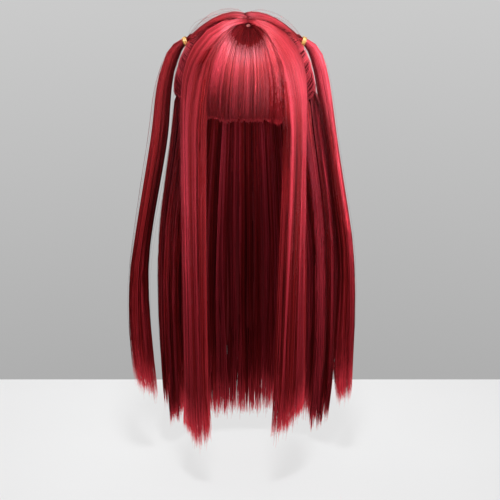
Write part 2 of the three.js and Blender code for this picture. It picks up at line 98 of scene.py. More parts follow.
SIDELOCK_TIP = {
    "left": table("share z", (0, -566), (0.45, -577), (1, -562)),
    "right": table("share z", (0, -564), (0.45, -555), (1, -538)),
}
# Painted light and shade: added tone of the whole lock, its top, inner rim and crown; whether it has a
# fold painted dark and a dull patch of painted shade.
SIDELOCK_LOOK = {
    "left": {"tone": 0.14, "top": 0, "inner": 0.26, "crown": 0.5, "fold_shade": 0, "patch": 1},
    "right": {"tone": 0, "top": 0.4, "inner": 0.2, "crown": -0.2, "fold_shade": 1, "patch": 0},
}

# Ties and the hair gathered to them

TIE = {
    "at": (76, 8, -27), "axis": (0.92, 0.06, -0.39), "inside": 0.2, "sleeve": 3.2,
    "hair": 4.6, "neck": 6.6, "neck_back": 9,
}
GATHER = {"reach": 0.93, "lift": 15, "bulge": 2.4, "foot": 3.3, "core": 0.35, "neck_run": 0.4}
GATHER_CORNER_LIFT = (7.5, 9.6, 14, 19)
GATHER_FOOT = {"front": 91.2, "rear": 122.5, "up": -3}
# Painted light: added tone low at the front of the footing. Painted shade: where the dark crease lies up
# its front.
GATHER_LOOK = {
    "left": {"tone": 0.3, "crease_shade": (0.2, 0.85)},
    "right": {"tone": 0.5, "crease_shade": (0.62, 0.86)},
}

# Tails

TAIL_DEPTH = table(
    "y deep",
    (8.6, 5.6), (9.5, 7), (10.5, 8), (12, 8.6), (13, 9), (14, 9.4), (15, 9.4),
    (16, 9.2), (17, 9), (18, 8.8), (18, 8.4), (18, 7.6), (18, 6), (18, 4.5),
)
TAIL = {
    "left": table(
        "x z across",
        (84, -31.5, 5.6), (91, -41, 7.4), (97.5, -56, 8), (103.5, -76, 8.8), (107.5, -100, 9.8),
        (112.5, -145, 10.6), (118, -178, 10.8), (131, -246, 10.6), (141, -300, 10.6), (148.5, -360, 12.4),
        (149.5, -430, 14.8), (147, -490, 15.8), (144, -522, 16), (142, -550, 15),
    ),
    "right": table(
        "x z across",
        (84, -31.5, 5.6), (91, -41, 7.4), (96.5, -56, 8), (101.5, -76, 8.4), (106, -100, 8.4),
        (113.5, -145, 7.6), (118.5, -178, 7.8), (129, -246, 9.4), (137.5, -300, 10.4), (142, -360, 11.6),
        (142, -430, 13.4), (141, -490, 13.8), (142, -524, 12.6), (144, -554, 10.6),
    ),
}
TAIL_LENGTH = 560
# Painted light and shade: added tone of the tail and painted light on its lit edge, where that edge starts
# near the tie; and the tip's slant.
TAIL_LOOK = {
    "left": {"tone": -0.04, "edge": 0.2, "edge_from": 0.5, "slant": 30},
    "right": {"tone": 0.04, "edge": 0.75, "edge_from": -0.1, "slant": 8},
}

# Loose hair behind

CURTAIN = table(
    "z width more_right side_y back_y thick_side thick_back",
    (-95, 89, 7, 4, 101.5, 8.5, 5),
    (-110, 95, 11, 7, 102.5, 12, 6.5),
    (-145, 99, 13, 11, 102.5, 12.5, 10.5),
    (-178, 103.5, 14, 14, 101.5, 12.5, 12),
    (-290, 121, 11, 28, 99, 12, 12),
    (-410, 126, 9, 34, 97, 11, 11),
    (-520, 123.5, 8, 35, 96, 9, 9),
    (-620, 119, 3, 36, 95, 6, 6),
)
CURTAIN_EDGE = 87
CURTAIN_SIDE_FROM = 55
CURTAIN_SIDE_TOP = -84
CURTAIN_CORNER = (125, 4)
BACK_BEND = (0.6, 1.18)
BACK_HANGS_FROM = -125
BACK_SIDE_LIFT = 4
BACK_RUN = table("share outer", (0, 5), (0.16, 7.4), (0.5, 9), (1, 9.4))
# Where each lock starts and ends, round from straight behind, and the height of its tip.
BACK_LOCKS = {
    "back_lock_left_4": (-87, -71, -562),
    "back_lock_left_3": (-71, -55, -606),
    "back_lock_left_2": (-55, -35, -598),
    "back_lock_left_1": (-35, -13, -608),
    "back_lock_middle": (-13, 13, -612),
    "back_lock_right_1": (13, 35, -604),
    "back_lock_right_2": (35, 55, -600),
    "back_lock_right_3": (55, 71, -612),
    "back_lock_right_4": (71, 87, -590),
}

# Strands and clumps in each kind of lock, and the places along a strand where its section is set.

STRANDS = {
    "bangs": (1250, 95),
    "sidelock": (1050, 50),
    "gather": (950, 90),
    "tail": (750, 44),
    "crown_back": (500, 28),
    "loose_back": (440, 22),
}
STATIONS = {
    "bangs_root": (0, 0.3, 0.6, 0.85, 1, 1.12),
    "bangs_fall": (0.05, 0.1, 0.15, 0.2, 0.25, 0.32, 0.7, 1),
    "sidelock": (0, 0.1, 0.24, 0.4, 0.56, 0.7, 0.82, 0.93, 1.03, 1.13, 1.3, 1.5, 1.72, 1.9, 2),
    "crown_back": (0, 0.1, 0.25, 0.42, 0.58, 0.72, 0.85, 0.97, 1.08, 1.22, 1.5, 1.72, 1.9, 2),
    "loose_back": (0, 0.04, 0.1, 0.22, 0.4, 0.62, 0.9, 1.22, 1.52, 1.75, 1.91, 2),
}
TAIL_STATIONS = 18
HALF_WIDTH, BACK_HALF_WIDTH = 0.6, 0.66
STRAY = {"share": 0.02, "width": 0.45, "near": 0.05, "far": 0.9}
SEED, PATCH_SEED = 20, 21

# A strand's section, across and outwards in half widths.
SECTION = ((1, -0.16), (0, 0.34), (-1, -0.16))
LOOKS = ["glossy", "matte", "core"]
CONTRAST = (0.5, 1.25)
# Painted shade: the shade mark falls towards this lower down the locks.
LOW_SHADE = 0.46
# Painted light at the tips: added to the shade mark, and the light tone the tips are drawn towards.
TIP_PAINTED_LIGHT = 0.6
TIP_PAINTED_LIGHT_TONE = 0.65
CORE_TONE, CORE_MAP = 0.1, 0.01
# How deep in a lock the two faces of its core lie, and how far out a bundle's core reaches.
CORE_DEPTHS = {"bangs": (0.5, 0.1), "sidelock": (0.68, 0.3), "back": (0.7, 0.3)}
CORE_REACH = {"gather": 0.84, "tail": 0.68}
TINY = 1e-9


# Shape helpers


def column(rows, by, name, place):
    """Table column at places, eased through the rows."""
    x, y = rows[by], rows[name]
    place = np.asarray(place, float)
    if x[0] > x[-1]:
        x, place = -x, -place
    rise = np.empty_like(y)
    rise[1:-1] = (y[2:] - y[:-2]) / (x[2:] - x[:-2])
    rise[0] = (y[1] - y[0]) / (x[1] - x[0])
    rise[-1] = (y[-1] - y[-2]) / (x[-1] - x[-2])
    place = np.clip(place, x[0], x[-1])
    i = np.clip(np.searchsorted(x, place, side="right") - 1, 0, len(x) - 2)
    span = x[i + 1] - x[i]
    return hermite((place - x[i]) / span, y[i], y[i + 1], span * rise[i], span * rise[i + 1])


def hermite(t, start, end, leave, arrive):
    """Curve from start to end as t goes from 0 to 1, with the slopes leave and arrive."""
    back = 2 * t**3 - 3 * t**2 + 1
    return back * start + (1 - back) * end + (t**3 - 2 * t**2 + t) * leave + (t**3 - t**2) * arrive


def mix(a, b, share):
    return a + (b - a) * share


def smooth(x, low, high):
    """0 below low, 1 above high, and an easy rise between them."""
    t = np.clip((x - low) / (high - low), 0, 1)
    return t * t * (3 - 2 * t)


def peak(x, at, width):
    """1 at a place, falling away to 0 on both sides."""
    return np.exp(-(((x - at) / width) ** 2))


def vec(*parts):
    return np.stack(np.broadcast_arrays(*parts), -1).astype(float)


def unit(v):
    return v / np.linalg.norm(v, axis=-1, keepdims=True)


def way(around, up):
    """Direction from the head's centre, in degrees round from the face and up."""
    a, u = np.radians(around), np.radians(up)
    return vec(np.cos(u) * np.sin(a), -np.cos(u) * np.cos(a), np.sin(u) * np.ones_like(a))


def way_over(x, y):
    """Direction to the top of the head over x and y."""
    nx = np.asarray(x, float) / HEAD["half_width"]
    ny = np.asarray(y, float) / HEAD["half_length"]
    return vec(nx, ny, np.sqrt(1 - nx**2 - ny**2))


def along(a, b, share):
    """Direction a share of the way along the arc between two directions."""
    angle = np.maximum(np.arccos(np.clip((a * b).sum(-1), -1, 1)), 1e-6)
    from_a = np.sin((1 - share) * angle) / np.sin(angle)
    from_b = np.sin(share * angle) / np.sin(angle)
    return from_a[..., None] * a + from_b[..., None] * b


def head_point(n, lift):
    """Point above the head in direction n."""
    height = np.where(n[..., 2] >= 0, HEAD["crown"], HEAD["nape"])
    return vec(
        (HEAD["half_width"] + lift) * n[..., 0],
        (HEAD["half_length"] + lift) * n[..., 1],
        (height + lift) * n[..., 2] - HEAD["crown"],
    )


SPOT_WAY = way_over(SPOT["x"], SPOT["y"])
SPOT_FRONT = unit(np.array([0, -1, 0]) + SPOT_WAY[1] * SPOT_WAY)
SPOT_SIDE = np.cross(SPOT_WAY, SPOT_FRONT)


def way_spot(out, turn):
    """Direction some degrees out from the parting's spot, turned from straight ahead."""
    o, t = np.broadcast_arrays(np.radians(out), np.radians(turn))
    return (
        np.cos(o)[..., None] * SPOT_WAY
        + (np.sin(o) * np.cos(t))[..., None] * SPOT_FRONT
        + (np.sin(o) * np.sin(t))[..., None] * SPOT_SIDE
    )


def bent(root, knee, end, share):
    """Direction along a bend that leaves root towards knee and comes in to end."""
    return unit(along(along(root, knee, share), along(knee, end, share), share))


def parting_way(side, y):
    """Direction of the parting's edge: it wanders, and swings to the spot at its front."""
    forward = -np.asarray(y, float)
    swing = SPOT["x"] * smooth(forward, *PARTING["swing"])
    wander = PARTING["wiggle"] * np.sin(PARTING["rate"] * y) * smooth(forward, *PARTING["calm"])
    return way_over(swing + wander - side * PARTING["overlap"], y)


def eased(path, s, low, high):
    """Points of path at s, with its bend between low and high rounded off."""
    step = 0.02
    whole = np.ones_like(s)
    start, end = path(low * whole), path(high * whole)
    leave = (start - path((low - step) * whole)) * (high - low) / step
    arrive = (path((high + step) * whole) - end) * (high - low) / step
    t = np.clip((s - low) / (high - low), 0, 1)[..., None]
    curve = hermite(t, start, end, leave, arrive)
    return np.where(((s > low) & (s < high))[..., None], curve, path(s))


def drop_below(p_head, p_hang, z, first):
    """Eases from the head's widest line into the hanging part of a lock."""
    share = smooth(z, EQUATOR, first)[..., None]
    return np.where((z > first)[..., None], mix(p_head, p_hang, share), p_hang)


# Hair paths: u across a lock, v from its inside to its outside, s from root to tip.


def bangs_path(u, v, s, longer=0.0):
    """s is 0 at the root, 1 at the height of the temples and 2 at the hem."""
    head, low = np.minimum(s, 1), np.maximum(s - 1, 0)
    turn = 2 * u - 1
    root = way_spot(BANGS["root"], BANGS["fan"] * turn)
    knee = way_spot(BANGS["knee"], BANGS["knee_fan"] * turn)
    n = bent(root, knee, way(mix(BANGS["left"], BANGS["right"], u), 0), head)
    lift = mix(SCALP_LIFT, column(BANGS_RUN, "share", "outer", head), v)
    p = head_point(n, lift - BANGS["tuck"] * low**2)
    p[..., 2] += low * (column(BANGS_HEM, "share", "z", u) - longer - EQUATOR)
    return p


def sidelock_path(name, u, v, s, longer=0.0):
    """s is 0 at the root, 1 at the height of the temples and 2 at the tip."""
    side, rows = SIDES[name], {**SIDELOCK_HANG[name], **SIDELOCK_DEPTH}
    head, low = np.minimum(s, 1), np.maximum(s - 1, 0)
    across = np.clip(u, 0, 1) * np.ones_like(s)
    fan = mix(BANGS["fan"] + SIDELOCK["fan_gap"], SIDELOCK["fan_end"], smooth(across, 0, 0.4))
    round_spot = way_spot(BANGS["root"], side * fan)
    parted = parting_way(side, PARTING["front_end"]) * np.ones_like(round_spot)
    root = along(round_spot, parted, smooth(across, 0.3, 1))
    knee = way_spot(BANGS["knee"], side * (BANGS["knee_fan"] + SIDELOCK["knee_gap"])) * np.ones_like(root)
    end = way(side * mix(SIDELOCK["front"], SIDELOCK["rear"], u), 0)
    n = unit(mix(bent(root, knee, end, head), along(root, end, head), smooth(u, 0, 0.7)[..., None]))
    outer = column(SIDELOCK_RUN, "share", "outer", head)
    rear = column(SIDELOCK_RUN, "share", "rear", head)
    p = head_point(n, mix(SCALP_LIFT, outer + rear * u**2, v))
    z = EQUATOR + low * (column(SIDELOCK_TIP[name], "share", "z", u) - longer - EQUATOR)
    get = {k: column(rows, "z", k, z) for k in rows if k != "z"}
    out = unit(vec(get["out_y"] - get["in_y"], get["in_x"] - get["out_x"], 0 * z))
    thick = get["thick"] * mix(SIDELOCK["edge_thick"], 1, np.sin(np.pi * np.clip(u, 0, 1)))
    swell = get["bulge"] * np.sin(np.pi * u) + (v - 0.5) * thick
    hang = vec(mix(get["in_x"], get["out_x"], u), mix(get["in_y"], get["out_y"], u), z)
    hang = hang + out * swell[..., None]
    hang[..., 0] *= side
    done = drop_below(p, hang, z, rows["z"][0])
    done[..., 2] = np.where(low > 0, z, p[..., 2])
    return np.where((low > 0)[..., None], done, p)


def curtain_point(turn, v, z):
    """Point of the hanging hair behind, turn degrees round from straight behind."""
    angle = np.radians(turn / CURTAIN_EDGE * 90)
    get = {k: column(CURTAIN, "z", k, z) for k in CURTAIN if k != "z"}
    depth = get["back_y"] - get["side_y"]
    width = get["width"] + get["more_right"] * (np.maximum(turn, 0) / CURTAIN_EDGE) ** 2
    p = vec(width * np.sin(angle), get["side_y"] + depth * np.cos(angle), z)
    out = unit(vec(depth * np.sin(angle), width * np.cos(angle), 0 * z))
    thick = mix(get["thick_side"], get["thick_back"], np.cos(angle) ** 2)
    return p + out * ((v - 1) * thick)[..., None]


def is_loose(name):
    """Whether a back lock hangs from under the gathered hair, and not from the crown."""
    start, end, _ = BACK_LOCKS[name]
    return max(abs(start), abs(end)) > CURTAIN_SIDE_FROM


def back_path(name, u, v, s, longer=0.0):
    """s is 0 at the root and 2 at the tip; a lock from the crown leaves the head at 1."""
    start, end, tip = BACK_LOCKS[name]
    turn = mix(start, end, u)
    full = 0.5 + 0.5 * np.sin(np.pi * np.clip(u, 0, 1)) ** 0.7
    depth = np.where(v > 0.5, 0.5 + (v - 0.5) * (2 * full - 1), v)
    if is_loose(name):
        z = CURTAIN_SIDE_TOP + s / 2 * (tip - longer - CURTAIN_SIDE_TOP)
        return curtain_point(turn, depth, z)
    head, low = np.minimum(s, 1), np.maximum(s - 1, 0)
    around, up = CURTAIN_CORNER
    corner = np.where((turn < 0)[..., None], way(-around, up), way(around, up))
    whorl = way_over(0, PARTING["whorl"]) * np.ones_like(corner)
    root = along(whorl, corner, np.abs(turn) / CURTAIN_SIDE_FROM)
    n = along(root, way(180 - turn, 0), head)
    outer = column(BACK_RUN, "share", "outer", head)
    outer = outer + BACK_SIDE_LIFT * head * (turn / CURTAIN_SIDE_FROM) ** 2
    p = head_point(n, mix(SCALP_LIFT, outer, depth))
    z = EQUATOR + low * (tip - longer - EQUATOR)
    done = drop_below(p, curtain_point(turn, depth, z), z, BACK_HANGS_FROM)
    done[..., 2] = np.where(low > 0, z, p[..., 2])
    return np.where((low > 0)[..., None], done, p)


def tie_frame(name):
    """Centre of a tie, its axis outwards, and the ways up and rear across it."""
    mirror = (SIDES[name], 1, 1)
    centre = np.array(TIE["at"], float) * mirror
    axis = unit(np.array(TIE["axis"], float) * mirror)
    up = unit(np.array([0, 0, 1.0]) - axis[2] * axis)
    rear = np.cross(axis, up)
    return centre, axis, up, rear * np.sign(rear[1])


def gather_edge(name, a):
    """Directions and lifts round the footing of the gathered hair, a from 0 to 1."""
    side = SIDES[name]
    corners = [
        parting_way(side, PARTING["tied_from"]),
        parting_way(side, PARTING["tied_to"]),
        way(side * GATHER_FOOT["rear"], GATHER_FOOT["up"]),
        way(side * GATHER_FOOT["front"], GATHER_FOOT["up"]),
    ]
    a = np.mod(a, 1) * 4
    k = np.minimum(a.astype(int), 3)
    ends = np.array(corners + corners[:1])
    lifts = np.array(GATHER_CORNER_LIFT + GATHER_CORNER_LIFT[:1])
    share = a - k
    parted = parting_way(side, mix(PARTING["tied_from"], PARTING["tied_to"], share))
    n = np.where((k == 0)[..., None], parted, along(ends[k], ends[k + 1], share))
    ease = np.select([k == 0, k == 3], [share**0.3, share**2], share)
    return n, mix(lifts[k], lifts[k + 1], ease)


def gather_path(name, a, v, s, start=0.0):
    """s runs from the footing at 0 through the neck at 1 to inside the tie at 1.4."""
    centre, axis, up, rear = tie_frame(name)
    n, lift = gather_edge(name, a)
    from_head = centre + (0, 0, HEAD["crown"])
    tie_way = unit(from_head / (HEAD["half_width"], HEAD["half_length"], HEAD["crown"]))
    head = np.clip(mix(start, 1, np.minimum(s, 1)), 0, 1)
    away = head_point(n, lift) - centre
    turn = np.arctan2((away * rear).sum(-1), (away * up).sum(-1))
    rise = mix(lift, GATHER["lift"], head**0.5) + GATHER["bulge"] * np.sin(np.pi * head)
    top = np.clip(n[..., 2], 0, 1) ** 2
    front = smooth(np.mod(a, 1), 0.74, 0.78) * (1 - top)
    risen = smooth(s, mix(-0.08, -0.3, top), mix(0.1, 0.05, top) + 0.3 * front)
    rise = mix(GATHER["foot"], rise, v * risen)
    p = head_point(along(n, tie_way * np.ones_like(n), GATHER["reach"] * head), rise)
    last = np.clip((s - 1) / GATHER["neck_run"], 0, 1)
    back = mix(TIE["neck_back"], TIE["inside"], last)
    r = mix(TIE["neck"], TIE["hair"], smooth(last, 0, 0.6)) * mix(GATHER["core"], 1, v)
    spin = (r * np.cos(turn))[..., None] * up + (r * np.sin(turn))[..., None] * rear
    return mix(p, centre - axis * back[..., None] + spin, (head**3)[..., None])


def tail_path(name, turn, r, s):
    """s runs from the tie at 0 to the tip at 1; turn and r place the strand in the section."""
    step = 0.004
    rows = {**TAIL[name], **TAIL_DEPTH}
    centre, axis, _, _ = tie_frame(name)
    start = [centre + axis * out for out in (TIE["inside"], TIE["sleeve"])]
    points = np.array([*start, *vec(SIDES[name] * rows["x"], rows["y"], rows["z"])])
    run = np.concatenate([[0], np.cumsum(np.linalg.norm(np.diff(points, axis=0), axis=1))])
    track = {"s": run / run[-1], **dict(zip("xyz", points.T))}
    for size in ("across", "deep"):
        track[size] = np.concatenate([[TIE["hair"]] * 2, rows[size]])

    def middle(at):
        return vec(*(column(track, "s", k, at) for k in "xyz"))

    near = np.clip(s, step, 1 - step)
    tangent = unit(middle(near + step) - middle(near - step))
    side_way = unit(np.cross(np.array([0, 1.0, 0]), tangent))
    deep_way = np.cross(tangent, side_way)
    return (
        middle(s)
        + tangent * (run[-1] * np.maximum(s - 1, 0))[..., None]
        + side_way * (column(track, "s", "across", s) * r * np.cos(turn))[..., None]
        + deep_way * (column(track, "s", "deep", s) * r * np.sin(turn))[..., None]
    )


# Meshes


class Hair:
    """Gathers strands and cores and makes one mesh of them."""

    def __init__(self):
        self.points, self.quads, self.tris, self.marks, self.maps = [], [], [], [], []
        self.quad_looks, self.tri_looks = [], []
        self.count = 0

    def add(self, points, quads, tris, marks, maps, quad_looks):
        self.points.append(points.reshape(-1, 3))
        self.quads.append(quads.reshape(-1, 4) + self.count)
        self.tris.append(tris.reshape(-1, 3) + self.count)
        self.marks.append(marks.reshape(-1, 3))
        self.maps.append(maps.reshape(-1, 2))
        self.quad_looks.append(np.broadcast_to(quad_looks, quads.shape[:-1]).ravel())
        self.tri_looks.append(np.full(len(self.tris[-1]), np.max(quad_looks)))
        self.count += len(self.points[-1])

    def strands(self, path, facing, width, tone, shade, gloss, contrast):
        """Closed flat strands along path (strands, stations, 3), broad side to facing."""
        n, m = path.shape[:2]
        run = unit(np.gradient(path, axis=1) + TINY)
        side = unit(np.cross(facing, run) + TINY)
        up = np.cross(run, side)
        w = width[:, :, None]
        ring = [side * (across * w) + up * (out * w) for across, out in SECTION]
        points = path[:, :, None, :] + np.stack(ring, 2)
        index = np.arange(n * m * 3).reshape(n, m, 3)
        turned = np.roll(index, -1, axis=2)
        quads = np.stack([index[:, :-1], index[:, 1:], turned[:, 1:], turned[:, :-1]], -1)
        tris = np.concatenate([index[:, 0], index[:, -1, ::-1]])
        share = np.linspace(0, 1, m)[None]
        tone = np.clip(0.5 + (tone - 0.5) * mix(*contrast, smooth(share, 0.25, 0.8)), 0, 1.2)
        # Painted light at the tips: their tone is drawn towards a light one; the shade mark holds the
        # painted shade and light.
        tone = mix(tone, TIP_PAINTED_LIGHT_TONE, smooth(share, 0.8, 1))
        marks = np.repeat(vec(tone, share, np.clip(shade, 0, 1))[:, :, None], 3, axis=2)
        own = ((np.arange(n) + 0.2)[:, None, None] + 0.3 * np.arange(3)) / n
        maps = vec(own, 0.02 + 0.96 * share[:, :, None])
        dull = (gloss[:, 1:] + gloss[:, :-1] < 1)[:, :, None]
        looks = np.where(dull, LOOKS.index("matte"), LOOKS.index("glossy"))
        self.add(points, quads, tris, marks, maps, looks)

    def add_core(self, points, quads, tris, around, share):
        """Adds a core's grid of points, with their places around and along it."""
        marks = vec(CORE_TONE + 0 * around, share, 0)
        self.add(points, quads, tris, marks, vec(CORE_MAP * around, share), LOOKS.index("core"))

    def core(self, outer, inner):
        """Closed sheet between two grids (across, stations, 3)."""
        a, b = outer.shape[:2]
        index = np.arange(2 * a * b).reshape(2 * a, b)
        turned = np.roll(index, -1, axis=0)
        sides = np.stack([index[:, :-1], turned[:, :-1], turned[:, 1:], index[:, 1:]], -1)
        over = index[::-1]
        ends = np.stack([index[: a - 1], index[1:a], over[1:a], over[: a - 1]], -1)
        quads = np.concatenate([sides.reshape(-1, 4), ends[:, 0, ::-1], ends[:, -1]])
        no_tris = np.empty((0, 3), int)
        loop = np.concatenate([outer, inner[::-1]])
        around = np.arange(2 * a)[:, None] / (2 * a)
        self.add_core(loop, quads, no_tris, around, np.linspace(0, 1, b)[None])

    def bundle(self, rings):
        """Closed loft through rings (stations, around, 3)."""
        b, a = rings.shape[:2]
        index = np.arange(a * b).reshape(b, a)
        turned = np.roll(index, -1, axis=1)
        quads = np.stack([index[:-1], turned[:-1], turned[1:], index[1:]], -1)
        first, last = index[0], index[-1]
        fans = [(first[0], first[i + 1], first[i]) for i in range(1, a - 1)]
        fans += [(last[0], last[i], last[i + 1]) for i in range(1, a - 1)]
        around = np.arange(a)[None] / a
        self.add_core(rings, quads, np.array(fans), around, np.linspace(0, 1, b)[:, None])

    def piece(self, name):
        points = np.concatenate(self.points) * MM
        quads, tris = np.concatenate(self.quads), np.concatenate(self.tris)
        corners = np.concatenate([quads.ravel(), tris.ravel()])
        starts = np.concatenate([np.arange(len(quads)) * 4, len(quads) * 4 + np.arange(len(tris)) * 3])
        mesh = bpy.data.meshes.new(name)
        mesh.vertices.add(len(points))
        mesh.vertices.foreach_set("co", points.ravel())
        mesh.loops.add(len(corners))
        mesh.loops.foreach_set("vertex_index", corners.astype(np.int32))
        mesh.polygons.add(len(starts))
        mesh.polygons.foreach_set("loop_start", starts.astype(np.int32))
        mesh.polygons.foreach_set("use_smooth", np.ones(len(starts), bool))
        looks = np.concatenate(self.quad_looks + self.tri_looks)
        mesh.polygons.foreach_set("material_index", looks.astype(np.int32))
        mesh.update(calc_edges=True)
        marks = np.concatenate(self.marks)
        colour = mesh.color_attributes.new("strand", "FLOAT_COLOR", "POINT")
        colour.data.foreach_set("color", np.column_stack([marks, np.ones(len(marks))]).ravel())
        maps = np.concatenate(self.maps)[corners]
        mesh.uv_layers.new(name="OFBake").uv.foreach_set("vector", maps.ravel())
        for look in LOOKS:
            mesh.materials.append(FIBRE[look])
        piece = bpy.data.objects.new(name, mesh)
        bpy.context.collection.objects.link(piece)
        return piece


# Materials

# The strands' colours by tone; the last, pinkest stop serves strands whose tone painted light has lifted
# high.
HAIR_REDS = [
    (0.1, (0.05, 0.003, 0.0032)),
    (0.5, (0.21, 0.0105, 0.0125)),
    (0.9, (0.465, 0.038, 0.061)),
    (1.0, (1.0, 0.08, 0.11)),
]
# Painted shade: the shade mark darkens the colour and makes it redder.
HAIR_SHADES = [(0.0, (0.1, 0.05, 0.05)), (0.5, (0.5, 0.38, 0.38)), (1.0, (1, 1, 1))]
# Painted light at the tips: the last stretch of each strand is made over four times lighter.
HAIR_TIP_PAINTED_LIGHT = [(0.0, (1, 1, 1)), (0.93, (1, 1, 1)), (1.0, (4.4, 4.6, 4.8))]
HAIR_GLOSS_TINT = (1, 0.36, 0.45, 1)
HAIR_GRAIN = {"share": 0.25, "across": 600.0, "along": 4.0}
# Painted shade: the cores inside the locks are near black, darkest at their roots.
CORE_SHADE_REDS = [(0.0, (0.03, 0.001, 0.002)), (0.5, (0.06, 0.002, 0.004)), (1.0, (0.09, 0.004, 0.006))]
CAP_REDS = [(0.02, (0.16, 0.016, 0.022)), (0.2, (0.04, 0.004, 0.006))]
BAND_YELLOWS = [(0.3, (0.24, 0.125, 0.024)), (0.7, (0.34, 0.2, 0.046))]
SKIN_TONES = [(0.3, (0.09, 0.02, 0.019)), (0.7, (0.14, 0.04, 0.036))]
FLOOR_GREYS = [(0.3, (0.105, 0.105, 0.107)), (0.7, (0.118, 0.118, 0.12))]


class Nodes:
    """Short names for building the nodes of a material or the world."""

    def __init__(self, owner):
        owner.use_nodes = True
        self.owner = owner
        self.tree = owner.node_tree

    def new(self, kind, **values):
        node = self.tree.nodes.new(kind)
        for key, value in values.items():
            if key in node.inputs:
                node.inputs[key].default_value = value
            else:
                setattr(node, key, value)
        return node

    def link(self, out, to):
        self.tree.links.new(out, to)

    def math(self, operation, a, b):
        node = self.new("ShaderNodeMath", operation=operation)
        for i, value in enumerate((a, b)):
            if isinstance(value, (int, float)):
                node.inputs[i].default_value = value
            else:
                self.link(value, node.inputs[i])
        return node.outputs[0]

    def ramp(self, value, stops):
        node = self.new("ShaderNodeValToRGB")
        points = node.color_ramp.elements
        while len(points) < len(stops):
            points.new(0.5)
        for point, (place, colour) in zip(points, stops):
            point.position, point.color = place, (*colour, 1)
        self.link(value, node.inputs[0])
        return node.outputs[0]

    def ranged(self, value, **limits):
        node = self.new("ShaderNodeMapRange")
        for key, limit in limits.items():
            node.inputs[key.replace("_", " ").title()].default_value = limit
        self.link(value, node.inputs["Value"])
        return node.outputs[0]

    def multiply(self, colour, share):
        node = self.new("ShaderNodeMix", data_type="RGBA", blend_type="MULTIPLY")
        node.inputs[0].default_value = 1
        self.link(colour, node.inputs[6])
        self.link(share, node.inputs[7])
        return node.outputs[2]

    def pattern(self, kind, **values):
        """A texture laid out in the object's own coordinates."""
        node = self.new(kind, **values)
        self.link(self.new("ShaderNodeTexCoord").outputs["Object"], node.inputs["Vector"])
        return node.outputs[0]


class Surface(Nodes):
    """A material with one shader."""

    def __init__(self, name):
        super().__init__(bpy.data.materials.new(name))
        self.shader = self.tree.nodes["Principled BSDF"]

    def strand_marks(self):
        """Tone, share of the length and shade, as the strands' points hold them."""
        mark = self.new("ShaderNodeAttribute", attribute_name="strand")
        split = self.new("ShaderNodeSeparateColor")
        self.link(mark.outputs["Color"], split.inputs[0])
        return split.outputs[:3]

    def bump(self, height, **values):
        node = self.new("ShaderNodeBump", **values)
        self.link(height, node.inputs["Height"])
        self.link(node.outputs[0], self.shader.inputs["Normal"])

    def done(self, colour, roughness, gloss=0.5):
        self.link(colour, self.shader.inputs["Base Color"])
        self.shader.inputs["Roughness"].default_value = roughness
        self.shader.inputs["Specular IOR Level"].default_value = gloss
        return self.owner


def hair_material(name, roughness, gloss):
    m = Surface(name)
    tone, share, shade = m.strand_marks()
    own = m.new("ShaderNodeSeparateXYZ")
    m.link(m.new("ShaderNodeUVMap", uv_map="OFBake").outputs[0], own.inputs[0])
    place = m.new("ShaderNodeCombineXYZ")
    m.link(m.math("MULTIPLY", own.outputs[0], HAIR_GRAIN["across"]), place.inputs[0])
    m.link(m.math("MULTIPLY", share, HAIR_GRAIN["along"]), place.inputs[1])
    grain = m.new("ShaderNodeTexNoise", Scale=1.0, Detail=2.0)
    m.link(place.outputs[0], grain.inputs["Vector"])
    fine = m.math("MULTIPLY", grain.outputs[0], HAIR_GRAIN["share"])
    value = m.math("ADD", m.math("MULTIPLY", tone, 1 - HAIR_GRAIN["share"]), fine)
    # Painted shade from the shade mark darkens the colour, and painted light lightens the tips.
    colour = m.multiply(m.ramp(value, HAIR_REDS), m.ramp(shade, HAIR_SHADES))
    colour = m.multiply(colour, m.ramp(share, HAIR_TIP_PAINTED_LIGHT))
    m.shader.inputs["Specular Tint"].default_value = HAIR_GLOSS_TINT
    return m.done(colour, roughness, gloss)


def core_material():
    # Painted shade: a dark, dull red for the hair in shade inside a lock.
    m = Surface("shaded_inner_fibre")
    _, share, _ = m.strand_marks()
    return m.done(m.ramp(share, CORE_SHADE_REDS), roughness=0.8, gloss=0.1)


def cap_material():
    m = Surface("cap_net")
    weave = m.pattern("ShaderNodeTexVoronoi", Scale=520.0, feature="DISTANCE_TO_EDGE")
    m.bump(weave, Strength=0.4, Distance=0.0006, invert=True)
    return m.done(m.ramp(weave, CAP_REDS), roughness=0.8)


def band_material():
    m = Surface("elastic")
    grain = m.pattern("ShaderNodeTexNoise", Scale=900.0, Detail=3.0)
    m.bump(grain, Strength=0.25, Distance=0.0003)
    return m.done(m.ramp(grain, BAND_YELLOWS), roughness=0.5)


def skin_material():
    m = Surface("scalp_skin")
    grain = m.pattern("ShaderNodeTexNoise", Scale=700.0, Detail=4.0)
    return m.done(m.ramp(grain, SKIN_TONES), roughness=0.8, gloss=0.1)


FIBRE = {
    "glossy": hair_material("red_fibre", roughness=0.4, gloss=0.8),
    "matte": hair_material("shaded_red_fibre", roughness=0.6, gloss=0.04),
    "core": core_material(),
}


# Strand helpers

rng = np.random.default_rng(SEED)


def settle(piece, slot, *nodes):
    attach(piece, "root")
    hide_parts(*nodes)


def clumped(count, clumps):
    """Clump of each strand, its place across, and the strand's own offset from it."""
    home = (np.arange(clumps) + rng.uniform(0.1, 0.9, clumps)) / clumps
    k = rng.integers(0, clumps, count)
    return k, home[k][:, None], rng.normal(0, 0.9 / clumps, count)[:, None]


def sway(k, clumps):
    """Where in its wave each strand starts, the same all through a clump."""
    return rng.uniform(0, 6, clumps)[k][:, None]


